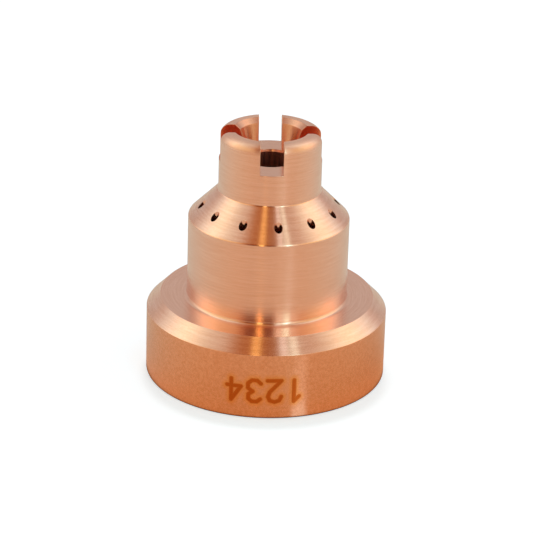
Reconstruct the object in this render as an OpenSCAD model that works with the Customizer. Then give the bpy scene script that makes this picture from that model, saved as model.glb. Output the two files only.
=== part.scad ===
// Shield for a plasma cutting torch, turned and milled from one piece of copper.
// It stands on its threaded skirt with the slotted crown up. Its axis is Z, and
// the origin is the centre of the skirt's rim. All sizes are in millimetres.

/* [Skirt] */
// Nominal diameter of the thread inside the skirt
thread_d = 30; // [26:0.5:34]
// Length of the thread, lead-in included
thread_len = 8; // [5:0.5:12]
// Lead-in chamfer at the mouth of the thread
thread_lead = 0.8; // [0.3:0.1:1.2]
// Wall of the skirt outside the thread
skirt_wall = 2.5; // [2:0.1:4]
// Width of the groove in which the thread runs out
relief_w = 1.5; // [0.8:0.1:2.5]
// Depth of that groove beyond the thread
relief_depth = 0.4; // [0.2:0.1:0.8]
// Thickness of the flange over the thread
flange_t = 2.3; // [1.5:0.1:4]
// Chamfer round the top of the flange
flange_chamfer = 2; // [0.5:0.1:2.5]
// Rounding of the rim's outer edge
rim_round = 0.3; // [0.1:0.1:0.8]

/* [Body] */
// Diameter of the plain body above the flange
body_d = 23.3; // [21:0.1:25]
// Height of the body from the flange to the cone
body_len = 12.2; // [9:0.2:18]
// Wall of the body
body_wall = 1.25; // [0.8:0.05:2]
// Rise of the cone above the level, in degrees
cone_angle = 45; // [35:1:50]
// Wall of the cone, measured square to it
cone_wall = 2.2; // [1.5:0.1:2.8]
// Fillet at the foot of the body
foot_fillet = 0.55; // [0.1:0.05:0.8]
// Rounding of the edge between the body and the cone
shoulder_round = 0.4; // [0.1:0.1:0.8]

/* [Tube and crown] */
// Diameter of the tube that carries the crown
tube_d = 14.8; // [13.5:0.1:16]
// Length of the tube from the cone to the top of the crown
tube_len = 8.95; // [8:0.05:12]
// Wall of the tube round the recess for the nozzle
tube_wall = 2.4; // [1.8:0.05:2.8]
// Fillet at the foot of the tube
tube_fillet = 0.35; // [0.1:0.05:0.6]
// Number of slots that part the crown's fingers
slot_count = 4; // [3:1:6]
// Width of a slot
slot_w = 3.3; // [2:0.1:4]
// Depth of the slots below the top of the crown
slot_depth = 4.4; // [3:0.1:5]
// Rounding of the fingers' outer edge
crown_round = 1.3; // [0.6:0.1:1.4]
// Width of the flat top of a finger
crown_flat = 0.7; // [0.5:0.1:1]
// Chamfer of the fingers' inner edge
crown_chamfer = 0.7; // [0.3:0.1:0.9]

/* [Bore] */
// Diameter of the bore that the jet leaves by
bore_d = 7.1; // [5:0.1:8]
// Length of the straight part of the bore
bore_len = 3; // [2:0.1:3.6]
// How far the funnel above the bore reaches below the slots
funnel_below = 0.35; // [0.1:0.05:0.6]

/* [Vents] */
// Number of vents round the cone
vent_count = 12; // [6:1:16]
// Diameter of a vent
vent_d = 1.2; // [0.8:0.1:1.6]
// Step left between the vents and the wall of the cavity
vent_land = 0.1; // [0.05:0.05:0.6]
// Turn of the first vent past the front slot, in degrees
vent_turn = 6.4; // [0:0.1:30]

/* [Hidden] */
$fn = 96;
// Number of chords in a rounded corner of the section
corner_steps = 8;
// How far a cutter runs past the face that it opens
over = 1;

thread_r = thread_d / 2;
skirt_r = thread_r + skirt_wall;
relief_r = thread_r + relief_depth;
socket_h = thread_len + relief_w;
flange_z = socket_h + flange_t;

body_r = body_d / 2;
cavity_r = body_r - body_wall;
shoulder_z = flange_z + body_len;

tube_r = tube_d / 2;
tube_z = shoulder_z + (body_r - tube_r) * tan(cone_angle);
top_z = tube_z + tube_len;
slot_z = top_z - slot_depth;

mouth_r = tube_r - crown_round - crown_flat - crown_chamfer;
bore_r = bore_d / 2;
bore_top_z = slot_z - funnel_below;
bore_foot_z = bore_top_z - bore_len;

// The cavity's cone runs parallel to the outer one, cone_wall inside it
recess_r = tube_r - tube_wall;
cone_drop = cone_wall / cos(cone_angle);
cavity_z = shoulder_z + (body_r - cavity_r) * tan(cone_angle) - cone_drop;
recess_z = shoulder_z + (body_r - recess_r) * tan(cone_angle) - cone_drop;

vent_circle_r = cavity_r - vent_land - vent_d / 2;

// Corners of the turned section, anticlockwise: radius, height, rounding
SECTION = [
    [thread_r + thread_lead, 0, 0],
    [skirt_r, 0, rim_round],
    [skirt_r, flange_z - flange_chamfer, 0],
    [skirt_r - flange_chamfer, flange_z, 0],
    [body_r, flange_z, foot_fillet],
    [body_r, shoulder_z, shoulder_round],
    [tube_r, tube_z, tube_fillet],
    [tube_r, top_z, crown_round],
    [mouth_r + crown_chamfer, top_z, 0],
    [mouth_r, top_z - crown_chamfer, 0],
    [bore_r, bore_top_z, 0],
    [bore_r, bore_foot_z, 0],
    [recess_r, bore_foot_z, 0],
    [recess_r, recess_z, 0],
    [cavity_r, cavity_z, 0],
    [cavity_r, socket_h, 0],
    [relief_r, socket_h, 0],
    [relief_r, thread_len + relief_depth, 0],
    [thread_r, thread_len, 0],
    [thread_r, thread_lead, 0]
];

function spot(corner) = [corner[0], corner[1]];
function unit(v) = v / norm(v);

// Points of the arc that rounds the corner "here" and touches both its sides
function arc(before, here, after, r) =
    let (a = unit(before - here),
         b = unit(after - here),
         half = acos(a * b) / 2,
         centre = here + unit(a + b) * r / sin(half),
         from = here + a * r / tan(half) - centre,
         to = here + b * r / tan(half) - centre)
    [for (i = [0 : corner_steps])
        centre + r * unit(from + (to - from) * i / corner_steps)];

function rounded(corners) =
    let (n = len(corners))
    [for (i = [0 : n - 1])
        let (here = spot(corners[i]),
             before = spot(corners[(i + n - 1) % n]),
             after = spot(corners[(i + 1) % n]),
             r = corners[i][2])
        each r > 0 ? arc(before, here, after, r) : [here]];

module turned_blank() {
    rotate_extrude()
        polygon(rounded(SECTION));
}

// One slot, cut from the axis out through the front of the crown
module slot() {
    translate([-slot_w / 2, -tube_r - over, slot_z])
        cube([slot_w, tube_r + over, slot_depth + over]);
}

// One vent, drilled straight down through the cone into the cavity
module vent() {
    translate([0, -vent_circle_r, cavity_z - over])
        cylinder(d = vent_d, h = tube_z - cavity_z + 2 * over);
}

module shield() {
    color("#d9936c")
    difference() {
        turned_blank();
        for (i = [0 : slot_count - 1])
            rotate(i * 360 / slot_count)
                slot();
        for (i = [0 : vent_count - 1])
            rotate(vent_turn + i * 360 / vent_count)
                vent();
    }
}

shield();
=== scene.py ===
# %% [markdown]
# A copper shield for a plasma torch
#
# The shield is one piece of copper: a lathe turns it, an end mill cuts four slots through its crown, and a
# drill makes a ring of small vents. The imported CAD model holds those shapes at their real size. What Blender
# adds is what a lathe leaves behind: fine grooves that run round the part, edges broken by a touch of a file,
# a thread, and the way that bare copper answers the light.

# %% Load the frame
import math

import bmesh
import bpy
from mathutils import Matrix, Vector


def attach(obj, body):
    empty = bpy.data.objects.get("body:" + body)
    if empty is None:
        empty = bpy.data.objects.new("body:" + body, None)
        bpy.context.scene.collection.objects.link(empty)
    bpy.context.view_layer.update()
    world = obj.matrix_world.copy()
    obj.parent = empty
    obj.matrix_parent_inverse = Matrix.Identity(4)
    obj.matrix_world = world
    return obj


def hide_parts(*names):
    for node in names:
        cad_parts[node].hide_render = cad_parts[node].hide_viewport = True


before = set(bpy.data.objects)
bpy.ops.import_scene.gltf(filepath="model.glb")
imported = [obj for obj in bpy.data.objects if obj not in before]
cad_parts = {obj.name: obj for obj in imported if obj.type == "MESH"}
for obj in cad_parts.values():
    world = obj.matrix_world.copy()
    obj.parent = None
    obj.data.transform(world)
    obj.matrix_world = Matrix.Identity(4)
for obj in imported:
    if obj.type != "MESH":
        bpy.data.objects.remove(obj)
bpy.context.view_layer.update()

# %% [markdown]
# Sizes
#
# The piece is drawn in millimetres, as a machinist would, and shrunk to metres once, when it is finished.
# The same driving sizes shape the CAD model.

# %% Driving sizes, in millimetres
MM = 0.001

THREAD_R = 15.0
THREAD_LEN = 8.0
THREAD_LEAD = 0.8
PITCH = 1.5
SKIRT_WALL = 2.5
RELIEF_W = 1.5
RELIEF_DEPTH = 0.4
FLANGE_T = 2.3
FLANGE_CHAMFER = 2.0
RIM_ROUND = 0.3

BODY_R = 11.65
BODY_LEN = 12.2
BODY_WALL = 1.25
CONE_WALL = 2.2
FOOT_FILLET = 0.55
SHOULDER_ROUND = 0.4

TUBE_R = 7.4
TUBE_LEN = 8.95
TUBE_WALL = 2.4
TUBE_FILLET = 0.35
SLOT_COUNT = 4
SLOT_W = 3.3
SLOT_DEPTH = 4.4
CROWN_ROUND = 1.3
CROWN_FLAT = 0.7
CROWN_CHAMFER = 0.7

BORE_R = 3.55
BORE_LEN = 3.0
FUNNEL_BELOW = 0.35

VENT_COUNT = 12
VENT_R = 0.6
VENT_LAND = 0.1
VENT_TURN = math.radians(6.4)

# %% Sizes that follow from them
skirt_r = THREAD_R + SKIRT_WALL
socket_z = THREAD_LEN + RELIEF_W
flange_z = socket_z + FLANGE_T
cavity_r = BODY_R - BODY_WALL
shoulder_z = flange_z + BODY_LEN
tube_z = shoulder_z + BODY_R - TUBE_R
top_z = tube_z + TUBE_LEN
slot_z = top_z - SLOT_DEPTH
mouth_r = TUBE_R - CROWN_ROUND - CROWN_FLAT - CROWN_CHAMFER
bore_z = slot_z - FUNNEL_BELOW
recess_r = TUBE_R - TUBE_WALL
cone_drop = CONE_WALL * math.sqrt(2)
cavity_z = shoulder_z + BODY_WALL - cone_drop
recess_z = shoulder_z + BODY_R - recess_r - cone_drop
vent_circle_r = cavity_r - VENT_LAND - VENT_R

funnel_share = FUNNEL_BELOW / (top_z - CROWN_CHAMFER - bore_z)
floor_r = BORE_R + (mouth_r - BORE_R) * funnel_share

# %% [markdown]
# The turned section
#
# A lathe part is a section swept round an axis. The section is drawn as a ring of straight edges with a
# radius for each corner, and the bevel operator rounds the corners before anything is spun. No lathe leaves
# a perfectly sharp edge, and an edge with no width never catches the light, so even the sharp corners get a
# break of a tenth of a millimetre. The two corners with no radius lie on the slots' floor, where the mesh is
# to be cut later.

# %% Draw the section
EDGE_BREAK = 0.1
CORNER_SEGMENTS = 4
ROUND_SEGMENTS = 10
LARGE_ROUND = 0.25

SECTION = [
    (THREAD_R + THREAD_LEAD, 0, EDGE_BREAK),
    (skirt_r, 0, RIM_ROUND),
    (skirt_r, flange_z - FLANGE_CHAMFER, EDGE_BREAK),
    (skirt_r - FLANGE_CHAMFER, flange_z, EDGE_BREAK),
    (BODY_R, flange_z, FOOT_FILLET),
    (BODY_R, shoulder_z, SHOULDER_ROUND),
    (TUBE_R, tube_z, TUBE_FILLET),
    (TUBE_R, slot_z, 0),
    (TUBE_R, top_z, CROWN_ROUND),
    (mouth_r + CROWN_CHAMFER, top_z, EDGE_BREAK),
    (mouth_r, top_z - CROWN_CHAMFER, EDGE_BREAK),
    (floor_r, slot_z, 0),
    (BORE_R, bore_z, EDGE_BREAK),
    (BORE_R, bore_z - BORE_LEN, EDGE_BREAK),
    (recess_r, bore_z - BORE_LEN, EDGE_BREAK),
    (recess_r, recess_z, EDGE_BREAK),
    (cavity_r, cavity_z, EDGE_BREAK),
    (cavity_r, socket_z, EDGE_BREAK),
    (THREAD_R + RELIEF_DEPTH, socket_z, EDGE_BREAK),
    (THREAD_R + RELIEF_DEPTH, THREAD_LEN + RELIEF_DEPTH, EDGE_BREAK),
    (THREAD_R, THREAD_LEN, EDGE_BREAK),
    (THREAD_R, THREAD_LEAD, EDGE_BREAK),
]


def round_corner(bm, vert, radius):
    """Replaces a corner of a wire by an arc that touches both its edges."""
    sides = [edge.other_vert(vert).co - vert.co for edge in vert.link_edges]
    reach = radius / math.tan(sides[0].angle(sides[1]) / 2)
    bmesh.ops.bevel(
        bm, geom=[vert], offset=reach, offset_type="OFFSET", profile=0.5, affect="VERTICES",
        segments=ROUND_SEGMENTS if radius > LARGE_ROUND else CORNER_SEGMENTS,
        clamp_overlap=False, material=-1)


def section_wire(corners):
    """The section in the plane that faces the viewer, from the axis out along -Y."""
    bm = bmesh.new()
    ring = [bm.verts.new((0, -radius, height)) for radius, height, rounding in corners]
    for here, after in zip(ring, ring[1:] + ring[:1]):
        bm.edges.new((here, after))
    for vert, (radius, height, rounding) in zip(ring, corners):
        if rounding:
            round_corner(bm, vert, rounding)
    return bm


shield_bm = section_wire(SECTION)
print("section:", len(shield_bm.verts), "points")

# %% [markdown]
# Spin it
#
# The spin operator sweeps the wire through a full turn and merges the last copy with the first. The columns
# of the mesh have to meet the slots' walls, and those are flat, not radial. So every point then slides along
# its own circle, which leaves the turned surface as it was, until ten columns either side of a slot's middle
# run parallel to it and end on its walls.

# %% Spin the section
COLUMNS = 384
SLOT_COLUMNS = 10

column = 2 * math.pi / COLUMNS
slot_share = SLOT_COLUMNS * column
slot_pitch = 2 * math.pi / SLOT_COUNT


def turn_of(point):
    """The angle round the axis, from the front towards +X."""
    return math.atan2(point.x, -point.y)


def beside_slot(point):
    """The number of the nearest slot, and the angle past its middle."""
    number = round(turn_of(point) / slot_pitch)
    return number, turn_of(point) - number * slot_pitch


def slide_to_slots(bm):
    """Slides each point round the axis, so that columns of the mesh lie on the slots' walls."""
    for vert in bm.verts:
        radius = math.hypot(vert.co.x, vert.co.y)
        number, past = beside_slot(vert.co)
        reach = min(radius, TUBE_R)
        wall = math.asin(SLOT_W / 2 / reach)
        share = abs(past) / slot_share
        if share <= 1:
            moved = math.asin(SLOT_W / 2 * share / reach)
        else:
            half = slot_pitch / 2
            moved = wall + (abs(past) - slot_share) * (half - wall) / (half - slot_share)
        turn = number * slot_pitch + math.copysign(moved, past)
        vert.co.x = radius * math.sin(turn)
        vert.co.y = -radius * math.cos(turn)


bmesh.ops.spin(
    shield_bm, geom=shield_bm.verts[:] + shield_bm.edges[:], cent=(0, 0, 0), axis=(0, 0, 1),
    dvec=(0, 0, 0), angle=2 * math.pi, steps=COLUMNS, use_merge=True, use_duplicate=False)
slide_to_slots(shield_bm)
print("spun:", len(shield_bm.faces), "faces")

# %% [markdown]
# Mill the slots
#
# A boolean would cut the slots, but it leaves slivers that spoil a bevel. Here the mesh already has an edge
# wherever the mill passes, so the faces over each slot are deleted, the floor is bridged from its outer arc
# to its inner one, and the two walls are filled. A small bevel then breaks the milled edges.

# %% Cut the slots
MILLED_BREAK = 0.06
TINY = 1e-4


def in_slot(point):
    """True inside the space that the mill clears."""
    number, past = beside_slot(point)
    across = math.hypot(point.x, point.y) * math.sin(past)
    return point.z > slot_z + TINY and abs(across) < SLOT_W / 2 - TINY


def open_edges(bm):
    return [edge for edge in bm.edges if edge.is_boundary]


def on_floor(edge):
    return all(abs(vert.co.z - slot_z) < TINY for vert in edge.verts)


def mill_slots(bm):
    """Cuts the slots, and returns the faces that the mill leaves."""
    gone = [face for face in bm.faces if in_slot(face.calc_center_median())]
    bmesh.ops.delete(bm, geom=gone, context="FACES")
    turned = set(bm.faces)
    for number in range(SLOT_COUNT):
        arcs = [edge for edge in open_edges(bm)
                if on_floor(edge) and beside_slot(edge.verts[0].co)[0] % SLOT_COUNT == number]
        bmesh.ops.bridge_loops(bm, edges=arcs)
    bmesh.ops.holes_fill(bm, edges=open_edges(bm), sides=0)
    return [face for face in bm.faces if face not in turned]


def break_edges(bm, milled, width):
    """Bevels the edges between the milled faces and the turned ones."""
    milled = set(milled)
    rims = [edge for edge in bm.edges if sum(face in milled for face in edge.link_faces) == 1]
    bmesh.ops.bevel(
        bm, geom=rims, offset=width, offset_type="OFFSET", segments=2, profile=0.5,
        affect="EDGES", clamp_overlap=False, material=-1)


milled_faces = mill_slots(shield_bm)
bmesh.ops.recalc_face_normals(shield_bm, faces=shield_bm.faces[:])
break_edges(shield_bm, milled_faces, MILLED_BREAK)
print("milled:", len(shield_bm.faces), "faces,", len(open_edges(shield_bm)), "open edges")

# %% [markdown]
# Drill the vents
#
# The vents run straight down through the cone. Nothing else in the mesh lines up with them, so these are cut
# with a boolean, and their edges stay as sharp as a small drill leaves them.

# %% Cut the vents
VENT_SIDES = 48
OVER = 1.0


def to_object(bm, name):
    """Writes a bmesh to a new object and frees it."""
    mesh = bpy.data.meshes.new(name)
    bm.to_mesh(mesh)
    bm.free()
    made = bpy.data.objects.new(name, mesh)
    bpy.context.scene.collection.objects.link(made)
    return made


def vent_drills():
    """One rod for each vent."""
    bm = bmesh.new()
    length = tube_z - cavity_z + 2 * OVER
    for number in range(VENT_COUNT):
        turn = VENT_TURN + number * 2 * math.pi / VENT_COUNT
        place = Matrix.Rotation(turn, 4, "Z") @ Matrix.Translation(
            (0, -vent_circle_r, cavity_z - OVER + length / 2))
        bmesh.ops.create_cone(
            bm, cap_ends=True, segments=VENT_SIDES, radius1=VENT_R, radius2=VENT_R, depth=length,
            matrix=place)
    return to_object(bm, "vent_drills")


def with_modifiers(made):
    """Replaces an object's mesh by what its modifiers make of it."""
    shaped = made.evaluated_get(bpy.context.evaluated_depsgraph_get())
    finished = bpy.data.meshes.new_from_object(shaped)
    made.modifiers.clear()
    made.data = finished


shield = to_object(shield_bm, "shield_body")
drills = vent_drills()
cut = shield.modifiers.new("vents", "BOOLEAN")
cut.object = drills
cut.operation = "DIFFERENCE"
cut.solver = "EXACT"
with_modifiers(shield)
bpy.data.objects.remove(drills)
print("drilled:", len(shield.data.polygons), "faces")

# %% [markdown]
# Smooth shading
#
# Smooth shading blends the facets of the spin. Edges over 30 degrees are kept sharp, and the weighted normal
# modifier lets the large faces decide the normals, so a narrow bevel doesn't bend the light on the flat that
# it borders.

# %% Finish the mesh
SHARP = math.radians(30)


def finish_mesh(made):
    made.data.shade_smooth()
    made.data.set_sharp_from_angle(angle=SHARP)
    weigh = made.modifiers.new("weighted normals", "WEIGHTED_NORMAL")
    weigh.keep_sharp = True
    with_modifiers(made)
    made.data.transform(Matrix.Scale(MM, 4))
    made.data.update()


# %% [markdown]
# Seven finishes
#
# The outside is fine turned. The wall of the skirt is the bar's own drawn surface, which no tool has touched:
# it is duller, and more orange, partly its own colour and partly painted orange light from the floor near the
# part. The inside is cut copper, the walls of the slots, which the mill cut, are given a deeper colour, and
# the drill leaves the vents' walls smooth. The bore has streaks along its length, and its darker colour is
# partly painted shade deep in the bore. The mouth above it is coloured darker. Each face is told which finish
# it has
# by where it lies and which way it looks: facing is the cosine of the angle between its normal and the way out
# from the axis.

# %% Sort the faces
TURNED, DRAWN, CUT, DRILLED, BORE, MOUTH, WALL = range(7)
RIM_ZONE = 1.0
FACE_DEPTH = 0.02


def finish_of(centre, normal):
    """The finish of a face of the shield."""
    outward = Vector((centre.x, centre.y, 0)).normalized()
    facing = normal.dot(outward)
    reach = outward.dot(centre)
    number, past = beside_slot(centre)
    in_slots = centre.z > slot_z + EDGE_BREAK and abs(reach * math.sin(past)) < SLOT_W / 2 + TINY
    in_vents = cavity_z < centre.z < tube_z and abs(reach - vent_circle_r) < VENT_R + TINY
    in_bore = bore_z - BORE_LEN < centre.z < bore_z and reach < BORE_R + TINY
    in_mouth = centre.z > bore_z and reach < mouth_r + CROWN_CHAMFER
    inside = facing < -0.1 and centre.z < top_z - CROWN_CHAMFER
    overhead = normal.z < -0.5 and centre.z > RIM_ZONE
    if facing > 0.95 and reach > skirt_r - FACE_DEPTH:
        return DRAWN
    if in_vents and abs(normal.z) < 0.1:
        return DRILLED
    if in_bore and facing < -0.95:
        return BORE
    if in_slots and abs(normal.z) < 0.5:
        return WALL
    if in_mouth and facing < -0.3 and not in_slots:
        return MOUTH
    return CUT if in_slots or inside or overhead else TURNED


for polygon in shield.data.polygons:
    polygon.material_index = finish_of(polygon.center, polygon.normal)
finish_mesh(shield)

# %% [markdown]
# The thread
#
# A thread is a ridge that climbs as it turns. Spin does this too: its dvec lifts every step. The ridge has
# the metric form, a flank of 30 degrees and a flat crest, and it is rooted in the socket's wall. The lathe
# chamfers the mouth first and cuts a groove at the far end, and both trim the ridge: a point that would stand
# in that space is pushed out into the wall.

# %% Cut the thread
THREAD_STEPS = 120
ROOTED = 0.08
FLANK_CUTS = 3

ridge_h = 0.5413 * PITCH
crest_half = PITCH / 8
root_half = PITCH * 7 / 16
thread_start_z = root_half + 0.01
thread_end_z = THREAD_LEN + crest_half + 0.02
thread_turns = (thread_end_z - thread_start_z) / PITCH


def ridge_wire():
    """The ridge's section, with its root inside the wall."""
    bm = bmesh.new()
    outline = [
        (THREAD_R + ROOTED, -root_half),
        (THREAD_R, -root_half),
        (THREAD_R - ridge_h, -crest_half),
        (THREAD_R - ridge_h, crest_half),
        (THREAD_R, root_half),
        (THREAD_R + ROOTED, root_half),
    ]
    ring = [bm.verts.new((0, -radius, thread_start_z + height)) for radius, height in outline]
    for here, after in zip(ring, ring[1:] + ring[:1]):
        bm.edges.new((here, after))
    flanks = [edge for edge in bm.edges if abs(edge.verts[0].co.y - edge.verts[1].co.y) > ridge_h / 2]
    bmesh.ops.subdivide_edges(bm, edges=flanks, cuts=FLANK_CUTS)
    return bm


def trim_ridge(bm):
    """Pushes out into the wall what the lead-in chamfer and the run-out groove cut away."""
    for vert in bm.verts:
        radius = math.hypot(vert.co.x, vert.co.y)
        lead = THREAD_R + THREAD_LEAD - vert.co.z
        runout = THREAD_R + vert.co.z - THREAD_LEN
        scale = max(radius, lead, runout) / radius
        vert.co.x *= scale
        vert.co.y *= scale


thread_bm = ridge_wire()
steps = round(thread_turns * THREAD_STEPS)
bmesh.ops.spin(
    thread_bm, geom=thread_bm.verts[:] + thread_bm.edges[:], cent=(0, 0, 0), axis=(0, 0, 1),
    dvec=(0, 0, thread_turns * PITCH / steps), angle=thread_turns * 2 * math.pi, steps=steps,
    use_merge=False, use_duplicate=False)
bmesh.ops.holes_fill(thread_bm, edges=open_edges(thread_bm), sides=0)
trim_ridge(thread_bm)
bmesh.ops.recalc_face_normals(thread_bm, faces=thread_bm.faces[:])
thread = to_object(thread_bm, "thread_ridge")
finish_mesh(thread)
print("thread:", len(thread.data.polygons), "faces")

# %% [markdown]
# Shader maths as Python
#
# A node tree for a formula is tedious to wire by hand. This class wraps an output socket, so that a sum
# written in Python adds the Math nodes, and one method adds any other node.


# %% A socket that can be calculated with
class Wire:
    """An output socket in a node tree."""

    def __init__(self, tree, socket=None):
        self.tree = tree
        self.socket = socket

    def node(self, kind, settings=None, inputs=None, output=0):
        """Adds a node: its settings first, then a value or a Wire for each named or numbered input."""
        made = self.tree.nodes.new(kind)
        for name, value in (settings or {}).items():
            if name == "stops":
                self.set_stops(made.color_ramp, value)
            else:
                setattr(made, name, value)
        for name, value in (inputs or {}).items():
            if isinstance(value, Wire):
                self.tree.links.new(value.socket, made.inputs[name])
            else:
                made.inputs[name].default_value = value
        return Wire(self.tree, made.outputs[output] if len(made.outputs) else None)

    def set_stops(self, ramp, stops):
        """Gives a colour ramp its stops, each a place and a colour."""
        while len(ramp.elements) < len(stops):
            ramp.elements.new(0.5)
        for element, (place, colour) in zip(ramp.elements, stops):
            element.position = place
            element.color = (*colour, 1)

    def maths(self, operation, *terms):
        return self.node("ShaderNodeMath", {"operation": operation}, dict(enumerate(terms)))

    def __add__(self, other):
        return self.maths("ADD", self, other)

    __radd__ = __add__

    def __mul__(self, other):
        return self.maths("MULTIPLY", self, other)

    __rmul__ = __mul__

    def __sub__(self, other):
        return self.maths("SUBTRACT", self, other)

    def __rsub__(self, other):
        return self.maths("SUBTRACT", other, self)

    def __truediv__(self, other):
        return self.maths("DIVIDE", self, other)

    def size(self):
        return self.maths("ABSOLUTE", self)

    def fade(self, zero_at, one_at):
        """A smooth rise from 0 to 1 between two values, the first of which may be the larger."""
        return self.node(
            "ShaderNodeMapRange", {"interpolation_type": "SMOOTHSTEP"},
            {"Value": self, "From Min": zero_at, "From Max": one_at})

    def parts(self, vector):
        """The X, Y and Z of a vector."""
        split = self.node("ShaderNodeSeparateXYZ", inputs={0: vector})
        return [self.output_of(split, axis) for axis in "XYZ"]

    def output_of(self, wire, name):
        """Another output of the node that a Wire comes from."""
        return Wire(self.tree, wire.socket.node.outputs[name])


def new_material(name):
    """An empty material, its tree, and a Wire to start from."""
    material = bpy.data.materials.new(name)
    material.use_nodes = True
    material.node_tree.nodes.clear()
    return material, Wire(material.node_tree)


def mix_colours(start, factor, first, second):
    """A blend of two colours."""
    return start.node(
        "ShaderNodeMix", {"data_type": "RGBA"}, {0: factor, 6: first, 7: second}, output=2)


# %% [markdown]
# Turned copper
#
# Bare copper has no diffuse colour. All that it shows is its surroundings, tinted, so its base colour is its
# reflectance. The lathe's grooves run round the axis and spread a reflection across themselves, up and down
# the part. Anisotropy does this: the tangent runs round the Z axis by default, and a quarter turn puts the
# spread along the axis. The grooves that can still be seen are a noise stretched into rings: it changes fast
# with height and radius, and slowly round the part. Each finish wanders between a bright and a deep shade.
# Swing is how far its roughness wanders too, and the rounded crown, which a file has touched, is rougher.

# %% Copper
FINE_TURNED = {"bright": (0.98, 0.695, 0.59, 1), "deep": (0.89, 0.565, 0.44, 1), "roughness": 0.22,
               "swing": 0.02, "crown": 0.09, "anisotropy": 0.95, "grooves": 1.0}
# The skirt's more orange colour is partly its own and partly painted orange light from the floor near the
# part.
DRAWN_BAR_WARM_LIT = {"bright": (0.945, 0.53, 0.35, 1), "deep": (0.80, 0.38, 0.20, 1), "roughness": 0.27,
             "swing": 0.0, "anisotropy": 0.85, "grooves": 0.0}
# The walls of the slots are given a deeper colour.
MILLED = {"bright": (0.90, 0.47, 0.32, 1), "deep": (0.86, 0.43, 0.28, 1), "roughness": 0.21,
          "swing": 0.0, "anisotropy": 0.60, "grooves": 0.0}
# The mouth is coloured darker than the cut copper.
DARKER_MOUTH = {"bright": (0.77, 0.43, 0.325, 1), "deep": (0.68, 0.37, 0.275, 1), "roughness": 0.22,
               "swing": 0.04, "anisotropy": 0.70, "grooves": 0.6}
FRESH_CUT = {"bright": (0.95, 0.58, 0.44, 1), "deep": (0.91, 0.53, 0.39, 1), "roughness": 0.21,
             "swing": 0.06, "anisotropy": 0.60, "grooves": 0.6}
DRILLED_WALL = {"bright": (0.95, 0.64, 0.53, 1), "deep": (0.90, 0.58, 0.46, 1), "roughness": 0.13,
                "swing": 0.0, "anisotropy": 0.0, "grooves": 0.0}
# The bore's darker colour is partly painted shade, deep in the bore.
BORED_AND_SHADED = {"bright": (0.98, 0.64, 0.58, 1), "deep": (0.70, 0.41, 0.37, 1), "roughness": 0.25,
         "swing": 0.0, "anisotropy": 0.60, "grooves": 0.0, "streaks": 1.0}
GROOVES_PER_M = 5500
GROOVES_ROUND = 200
BANDS_PER_M = 1100
BANDS_ROUND = 25
GRAIN_PER_M = 2600
STREAKS_PER_M = 2400
STREAK_STRETCH = 12
RADIUS_WEIGHT = 1.7
MIDDLE = (0.3, 0.7)
STREAK_MIDDLE = (0.38, 0.58)

plain_z = (top_z - CROWN_ROUND - 0.4) * MM
rounded_z = (top_z - CROWN_ROUND + 0.3) * MM


def ring_noise(start, position, per_m, around):
    """Noise in rings round the axis: per_m changes per metre along the section, around per metre of arc."""
    x, y, z = start.parts(position)
    radius = start.maths("SQRT", x * x + y * y)
    stretched = start.node(
        "ShaderNodeCombineXYZ",
        inputs={0: x * around, 1: y * around, 2: (z + radius * RADIUS_WEIGHT) * per_m})
    return start.node(
        "ShaderNodeTexNoise", {"noise_dimensions": "3D"},
        {"Vector": stretched, "Scale": 1.0, "Detail": 3.0, "Roughness": 0.6}, output=0)


def streak_noise(start, position):
    """Noise in streaks that run up the wall of a bore."""
    x, y, z = start.parts(position)
    stretched = start.node("ShaderNodeCombineXYZ", inputs={
        0: x * STREAKS_PER_M, 1: y * STREAKS_PER_M, 2: z * (STREAKS_PER_M / STREAK_STRETCH)})
    return start.node(
        "ShaderNodeTexNoise", {"noise_dimensions": "3D"},
        {"Vector": stretched, "Scale": 1.0, "Detail": 2.0, "Roughness": 0.5}, output=0)


def copper(name, finish, marked=False):
    """The material of one finish, with the mark burnt into it if it is marked."""
    material, start = new_material(name)
    position = start.node("ShaderNodeTexCoord", output=3)
    grooves = ring_noise(start, position, GROOVES_PER_M, GROOVES_ROUND).fade(*MIDDLE)
    bands = ring_noise(start, position, BANDS_PER_M, BANDS_ROUND)
    ringed = finish["grooves"]
    if "streaks" in finish:
        shade = streak_noise(start, position).fade(*STREAK_MIDDLE)
    else:
        grain = start.node(
            "ShaderNodeTexNoise", {"noise_dimensions": "3D"},
            {"Vector": position, "Scale": GRAIN_PER_M, "Detail": 4.0, "Roughness": 0.7}).fade(*MIDDLE)
        shade = grooves * (0.7 * ringed) + grain * (0.8 - 0.5 * ringed)
    colour = mix_colours(start, shade, finish["bright"], finish["deep"])
    if marked:
        colour = burn_mark(start, position, colour)
    roughness = finish["roughness"]
    if finish["swing"]:
        roughness = (bands - 0.5) * finish["swing"] + roughness
    if "crown" in finish:
        height = start.parts(position)[2]
        roughness = roughness + height.fade(plain_z, rounded_z) * finish["crown"]
    inputs = {"Base Color": colour, "Metallic": 1.0, "Roughness": roughness,
              "Anisotropic": finish["anisotropy"], "Anisotropic Rotation": 0.25}
    if ringed:
        inputs["Normal"] = start.node("ShaderNodeBump", inputs={
            "Strength": 0.3 * ringed, "Distance": 0.00001, "Height": grooves + bands * 0.1})
    shader = start.node("ShaderNodeBsdfPrincipled", inputs=inputs)
    start.node("ShaderNodeOutputMaterial", inputs={"Surface": shader})
    return material


# %% [markdown]
# The mark
#
# A laser has marked the front of the skirt with four plain numbers, upside down. The beam leaves no depth,
# only heat tint: brown strokes in an orange halo. Each number is a line through a few points. The shader
# measures the distance from the nearest stretch of those lines, on the skirt's wall unrolled to a flat sheet.

# %% Numbers
STROKE = 0.62
HALO = 1.15
HALO_FULL = 0.1
STROKE_TINT = (0.56, 0.125, 0.010, 1)
HALO_TINT = (0.92, 0.40, 0.09, 1)
MARK_TURN = math.radians(-1.6)
MARK_Z = 4.3
MARK_PITCH = 2.9
NUMBER_SIZE = (1.35, 1.65)

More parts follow.
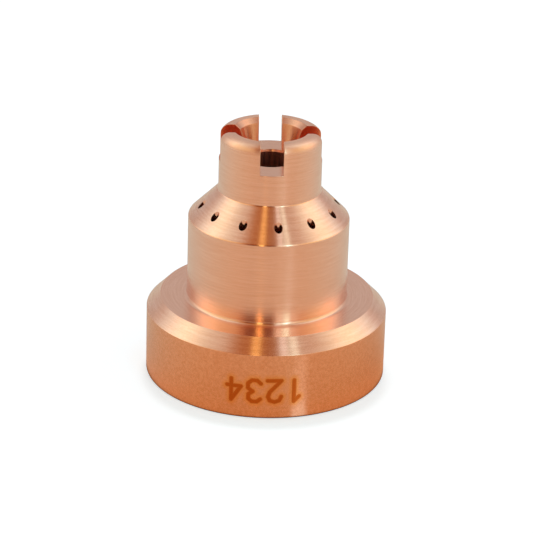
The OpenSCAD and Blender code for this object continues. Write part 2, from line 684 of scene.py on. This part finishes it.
NUMBERS = [
    [(-0.45, 0.55), (0.1, 1), (0.1, -1)],
    [(-0.7, 0.5), (-0.5, 0.87), (0, 1), (0.5, 0.87), (0.7, 0.5), (0.5, 0.05), (-0.7, -1), (0.75, -1)],
    [(-0.65, 0.75), (-0.3, 1), (0.25, 1), (0.6, 0.75), (0.6, 0.32), (0.15, 0.05), (0.65, -0.25),
     (0.65, -0.7), (0.25, -1), (-0.3, -1), (-0.7, -0.7)],
    [(0.3, -1), (0.3, 1), (-0.75, -0.35), (0.75, -0.35)],
]


def stretch_distance(start, spot, here, after):
    """The distance from a straight line between two points."""
    along = (after - here) / (after - here).length_squared
    share = start.node(
        "ShaderNodeVectorMath", {"operation": "DOT_PRODUCT"}, {0: spot, 1: (*along, 0)}, output=1)
    share = start.node(
        "ShaderNodeMath", {"operation": "SUBTRACT", "use_clamp": True}, {0: share, 1: along.dot(here)})
    nearest = start.node(
        "ShaderNodeVectorMath", {"operation": "MULTIPLY_ADD"},
        {0: share, 1: (*(after - here), 0), 2: (*here, 0)})
    return start.node("ShaderNodeVectorMath", {"operation": "DISTANCE"}, {0: spot, 1: nearest}, output=1)


def stroke_distance(start, position):
    """The distance from the nearest stroke of the mark, in millimetres."""
    x, y, z = start.parts(position)
    turn = start.maths("ARCTAN2", x, y * -1)
    spot = start.node("ShaderNodeCombineXYZ", inputs={
        0: (turn - MARK_TURN) * -skirt_r, 1: MARK_Z - z * (1 / MM), 2: 0.0})
    nearest = None
    for number, outline in enumerate(NUMBERS):
        middle = (number - (len(NUMBERS) - 1) / 2) * MARK_PITCH
        points = [Vector((middle + px * NUMBER_SIZE[0], py * NUMBER_SIZE[1])) for px, py in outline]
        for here, after in zip(points, points[1:]):
            distance = stretch_distance(start, spot, here, after)
            nearest = start.maths("MINIMUM", nearest, distance) if nearest else distance
    return nearest


def burn_mark(start, position, colour):
    """A colour with the mark's halo and strokes laid over it."""
    stroke = stroke_distance(start, position)
    colour = mix_colours(start, stroke.fade(HALO, HALO_FULL) * 0.8, colour, HALO_TINT)
    return mix_colours(start, stroke.fade(STROKE * 0.7, STROKE * 0.3) * 0.9, colour, STROKE_TINT)


# %% Put the finishes on
turned_copper = copper("turned_copper", FINE_TURNED)
drawn_warm_lit_copper = copper("drawn_warm_lit_copper", DRAWN_BAR_WARM_LIT, marked=True)
cut_copper = copper("cut_copper", FRESH_CUT)
drilled_copper = copper("drilled_copper", DRILLED_WALL)
bored_shaded_copper = copper("bored_shaded_copper", BORED_AND_SHADED)
darker_mouth_copper = copper("darker_mouth_copper", DARKER_MOUTH)
milled_copper = copper("milled_copper", MILLED)
for material in (turned_copper, drawn_warm_lit_copper, cut_copper, drilled_copper, bored_shaded_copper, darker_mouth_copper,
                 milled_copper):
    shield.data.materials.append(material)
thread.data.materials.append(cut_copper)

# %% [markdown]
# Joining the frame
#
# The new body stands for the CAD node, and the thread rides with it. Neither moves anything: both were drawn
# where the CAD model is.

# %% Ride on the frame
for piece in (shield, thread):
    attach(piece, "root")
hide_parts("shield")

# %% [markdown]
# The studio
#
# The part stands on a pale floor in a light tent. Polished copper is a picture of the tent: bright walls to
# the left and right, a dull sky behind, and in front the dark opening through which the camera looks. A warm
# lamp hangs in the opening as a narrow strip, with a pink and a cream strip to its right. The world draws all
# that by direction. The walls differ with height, so a high and a low tent are drawn, each as a ramp over the
# azimuth in degrees, from the front towards +X, and blended. A strip lies along a plane through the part. The
# camera sees plain white instead, as the Is Camera Ray output of Light Path allows.

# %% World
WHITE = (1, 1, 1, 1)
ZENITH = (0.52, 0.33, 0.21, 1)
HORIZON = (0.61, 0.36, 0.21, 1)
SKY_BACK = (0.57, 0.49, 0.44, 1)
WARM_LAMP = (0.98, 0.525, 0.165, 1)
WARM_LAMP_LOW = (2.20, 1.45, 0.50, 1)
PINK_STRIP = (0.94, 0.81, 0.72, 1)
CREAM_STRIP = (1.00, 0.92, 0.73, 1)
PINK_PLANE = (0.964, 0.246, -0.102)
CREAM_PLANE = (0.898, 0.409, -0.159)
LAMP_PLANE = (0.984, -0.167, 0.056)
LAMP_SHIFT = 0.005
STRIP_EDGE = 0.012

TENT_HIGH = [
    (-180, (0.56, 0.48, 0.42)),
    (-142, (0.60, 0.48, 0.42)),
    (-131, (0.76, 0.66, 0.58)),
    (-120, (1.06, 1.10, 0.97)),
    (-110, (1.09, 1.22, 1.04)),
    (-100, (1.07, 1.12, 0.94)),
    (-92, (0.93, 0.85, 0.71)),
    (-84, (0.76, 0.65, 0.54)),
    (-73, (0.66, 0.50, 0.40)),
    (-62, (0.63, 0.46, 0.35)),
    (-54, (0.57, 0.34, 0.22)),
    (-45, (0.51, 0.20, 0.06)),
    (-32, (0.47, 0.14, 0.03)),
    (5, (0.38, 0.11, 0.02)),
    (15, (0.40, 0.15, 0.05)),
    (22, (0.50, 0.29, 0.17)),
    (35, (0.57, 0.39, 0.26)),
    (46, (0.57, 0.37, 0.25)),
    (58, (0.54, 0.32, 0.22)),
    (70, (0.57, 0.38, 0.28)),
    (80, (0.78, 0.63, 0.51)),
    (90, (1.00, 0.91, 0.75)),
    (100, (1.06, 1.06, 0.90)),
    (112, (1.08, 1.15, 1.00)),
    (124, (1.10, 1.13, 1.02)),
    (133, (0.86, 0.77, 0.70)),
    (143, (0.61, 0.51, 0.46)),
    (180, (0.56, 0.48, 0.42)),
]
TENT_LOW = [
    (-180, (0.56, 0.48, 0.42)),
    (-140, (0.60, 0.48, 0.40)),
    (-129, (0.72, 0.62, 0.54)),
    (-119, (1.04, 1.04, 0.90)),
    (-100, (1.62, 1.34, 0.95)),
    (-85, (1.34, 1.10, 0.69)),
    (-72, (1.08, 0.87, 0.49)),
    (-60, (1.00, 0.74, 0.38)),
    (-48, (0.93, 0.66, 0.34)),
    (-41, (0.74, 0.43, 0.20)),
    (-35, (0.46, 0.18, 0.07)),
    (-30, (0.10, 0.00, 0.00)),
    (8, (0.10, 0.00, 0.00)),
    (11, (0.75, 0.58, 0.40)),
    (14, (1.20, 1.30, 1.10)),
    (17, (1.30, 1.50, 1.33)),
    (21, (1.15, 1.10, 0.93)),
    (24, (1.50, 2.10, 1.90)),
    (27, (1.80, 3.20, 3.00)),
    (30, (1.80, 3.20, 3.00)),
    (33, (1.20, 1.15, 0.95)),
    (41, (1.10, 1.00, 0.74)),
    (47, (0.96, 0.70, 0.42)),
    (60, (1.00, 0.74, 0.38)),
    (72, (1.08, 0.87, 0.49)),
    (85, (1.34, 1.10, 0.69)),
    (100, (1.72, 1.27, 0.87)),
    (121, (1.05, 1.06, 0.93)),
    (131, (0.76, 0.66, 0.60)),
    (142, (0.60, 0.50, 0.45)),
    (180, (0.56, 0.48, 0.42)),
]


def tent_ramp(start, turn, stops):
    """The colour of the tent at an azimuth in degrees."""
    return start.node(
        "ShaderNodeValToRGB", {"stops": [(place / 360 + 0.5, colour) for place, colour in stops]},
        {0: turn / 360 + 0.5})


def strip(direction, plane, half_width, shift=0.0):
    """1 on a strip that lies along a plane, and 0 beside it."""
    x, y, z = direction
    beside = (x * plane[0] + y * plane[1] + z * plane[2] - shift).size()
    return beside.fade(half_width, half_width - STRIP_EDGE) * y.fade(0.0, -0.1)


def studio_world():
    world = bpy.data.worlds.new("studio_world")
    world.use_nodes = True
    world.node_tree.nodes.clear()
    start = Wire(world.node_tree)
    direction = start.parts(start.node("ShaderNodeTexCoord"))
    x, y, z = direction
    turn = start.maths("ARCTAN2", x, y * -1) * (180 / math.pi)
    lamp = strip(direction, LAMP_PLANE, 0.060, LAMP_SHIFT)
    high = tent_ramp(start, turn, TENT_HIGH)
    high = mix_colours(start, z.fade(0.93, 0.99), high, ZENITH)
    high = mix_colours(start, strip(direction, PINK_PLANE, 0.048), high, PINK_STRIP)
    high = mix_colours(start, strip(direction, CREAM_PLANE, 0.049), high, CREAM_STRIP)
    high = mix_colours(start, lamp, high, WARM_LAMP)
    low = mix_colours(start, lamp, tent_ramp(start, turn, TENT_LOW), WARM_LAMP_LOW)
    low = mix_colours(start, z.fade(0.35, 0.05) * 0.5, low, HORIZON)
    low = mix_colours(start, z.fade(0.26, 0.08) * y.fade(-0.35, -0.70), low, HORIZON)
    tent = mix_colours(start, z.fade(0.80, 0.55), high, low)
    surroundings = mix_colours(start, y.fade(0.62, 0.80), tent, SKY_BACK)
    seen = start.node("ShaderNodeLightPath")
    background = start.node("ShaderNodeBackground", inputs={
        "Color": mix_colours(start, seen, surroundings, WHITE), "Strength": 1.0})
    start.node("ShaderNodeOutputWorld", inputs={"Surface": background})
    bpy.context.scene.world = world


studio_world()

# %% [markdown]
# The floor
#
# The floor is white paper. What the metal sees of it has light and shade painted on: close to the part a
# painted orange glow and painted light at the rim stand in for what the copper throws on it, in front a
# painted warm shade stands in for the dark opening of the tent, a painted pale streak of light runs to the
# front right, below the tent's bright edge, and under the rim lies a thin ring of painted shade. The camera
# sees none of
# this: for its rays the paper glows by itself, with a painted shadow where the part touches it, and the soft
# shadow that the part casts stays on it. Each pair of radii is where something starts and where it is full, in
# metres.

# %% Floor
FLOOR_SIZE = 3.0
PAPER = (0.80, 0.91, 1.0, 1)
PAPER_SEEN = (0.48, 0.69, 0.97, 1)
# Light and shade painted on the paper, seen only in the metal: a warm shade, an orange glow, a ring of shade,
# light at the rim and a pale streak.
WARM_PAINTED_SHADE = (0.89, 0.75, 0.67, 1)
GLOW = (0.80, 0.58, 0.40, 1)
BLACK = (0, 0, 0, 1)
LIT_RIM = (0.09, 0.055, 0.03, 1)
# The paper's own glow for the camera's rays, lower in a painted shadow near the part.
LIFT_SEEN = (0.66, 0.66, 0.66, 1)
LIFT_IN_SHADOW = (0.52, 0.52, 0.52, 1)
SHADOW_SHIFT = 0.0030
CONTACT = (0.0190, 0.0168)
GLOW_NEAR = (0.045, 0.018)
GLOW_TURN = 0.5
GAP_SHADE_RADII = (0.0181, 0.0177)
RIM_LIGHT = (0.026, 0.0175)
LIGHT_STREAK_NEAR = (0.045, 0.022)
LIGHT_STREAK_WIDTH = (0.10, 0.03)
GAP_SHADE = (0.30, 0.18, 0.12, 1)
LIGHT_STREAK = (0.19, 0.21, 0.24, 1)
LIGHT_STREAK_AT_RIM = (0.40, 0.58, 0.68, 1)
LIGHT_STREAK_START = (-0.0051, -0.0032)
LIGHT_STREAK_TURN = math.radians(34.6)


def paper_floor():
    bm = bmesh.new()
    bmesh.ops.create_grid(bm, x_segments=1, y_segments=1, size=FLOOR_SIZE / 2)
    floor = to_object(bm, "studio_floor")
    material, start = new_material("studio_floor")
    x, y, z = start.parts(start.node("ShaderNodeTexCoord", output=3))
    path = start.node("ShaderNodeLightPath")
    by_camera = start.output_of(path, "Is Camera Ray")
    by_metal = start.output_of(path, "Is Glossy Ray")
    radius = start.maths("SQRT", x * x + y * y)
    round_front = start.maths("ARCTAN2", x, y * -1)
    # Painted orange glow of light from the copper, seen only in the metal.
    near = radius.fade(*GLOW_NEAR) * (round_front - GLOW_TURN).size().fade(2.1, 0.8) * by_metal
    # Painted warm shade in front, seen only in the metal.
    warm_shade = round_front.size().fade(2.5, 0.5) * by_metal
    # Painted thin ring of shade under the rim, seen only in the metal.
    gap_shade = radius.fade(*GAP_SHADE_RADII) * by_metal
    # Painted contact shadow, for the camera's rays.
    ahead = y + SHADOW_SHIFT
    in_shadow = start.maths("SQRT", x * x + ahead * ahead).fade(*CONTACT)
    # Painted light near the rim, seen only in the metal.
    at_rim = radius.fade(*RIM_LIGHT) * by_metal
    # Painted pale streak of light to the front right, seen only in the metal.
    turn = start.maths("ARCTAN2", x - LIGHT_STREAK_START[0], (y - LIGHT_STREAK_START[1]) * -1)
    light_streak = (turn - LIGHT_STREAK_TURN).size().fade(*LIGHT_STREAK_WIDTH) * by_metal
    light_streak = light_streak * (radius.fade(*LIGHT_STREAK_NEAR) * 0.75 + 0.25)
    paper_and_painted_light = mix_colours(start, warm_shade, PAPER, WARM_PAINTED_SHADE)
    paper_and_painted_light = mix_colours(start, near, paper_and_painted_light, GLOW)
    paper_and_painted_light = mix_colours(start, gap_shade, paper_and_painted_light, GAP_SHADE)
    glow = mix_colours(start, at_rim, BLACK, LIT_RIM)
    glow = mix_colours(start, light_streak, glow, mix_colours(start, at_rim, LIGHT_STREAK, LIGHT_STREAK_AT_RIM))
    glow = mix_colours(start, gap_shade, glow, BLACK)
    lift = mix_colours(start, in_shadow, LIFT_SEEN, LIFT_IN_SHADOW)
    shader = start.node("ShaderNodeBsdfPrincipled", inputs={
        "Base Color": mix_colours(start, by_camera, paper_and_painted_light, PAPER_SEEN),
        "Roughness": 1.0, "Specular IOR Level": 0.0,
        "Emission Color": mix_colours(start, by_camera, glow, lift), "Emission Strength": 1.0})
    start.node("ShaderNodeOutputMaterial", inputs={"Surface": shader})
    material.cycles.emission_sampling = "NONE"
    floor.data.materials.append(material)


paper_floor()

# %% [markdown]
# The camera
#
# A long lens, a little to the left of the front slot, looking down on the part. The part leans slightly in
# the picture, so the camera is rolled, and the part stays upright.

# %% Camera
FOCAL_PIXELS = 2500
IMAGE_PIXELS = 533
SENSOR = 36
CAMERA_DISTANCE = 0.3634
CAMERA_ELEVATION = math.radians(23.1)
CAMERA_TURN = math.radians(-1.8)
CAMERA_ROLL = math.radians(1.63)
AIM = Vector((-0.00014, 0, 0.01595))


def camera():
    lens = bpy.data.cameras.new("camera")
    lens.sensor_width = SENSOR
    lens.lens = FOCAL_PIXELS * SENSOR / IMAGE_PIXELS
    placed = bpy.data.objects.new("camera", lens)
    bpy.context.scene.collection.objects.link(placed)
    turn = (Matrix.Rotation(CAMERA_TURN, 4, "Z")
            @ Matrix.Rotation(math.pi / 2 - CAMERA_ELEVATION, 4, "X")
            @ Matrix.Rotation(CAMERA_ROLL, 4, "Z"))
    placed.matrix_world = Matrix.Translation(AIM) @ turn @ Matrix.Translation((0, 0, CAMERA_DISTANCE))
    bpy.context.scene.camera = placed


camera()
bpy.context.scene.view_settings.view_transform = "Standard"
bpy.context.scene.cycles.glossy_bounces = 10
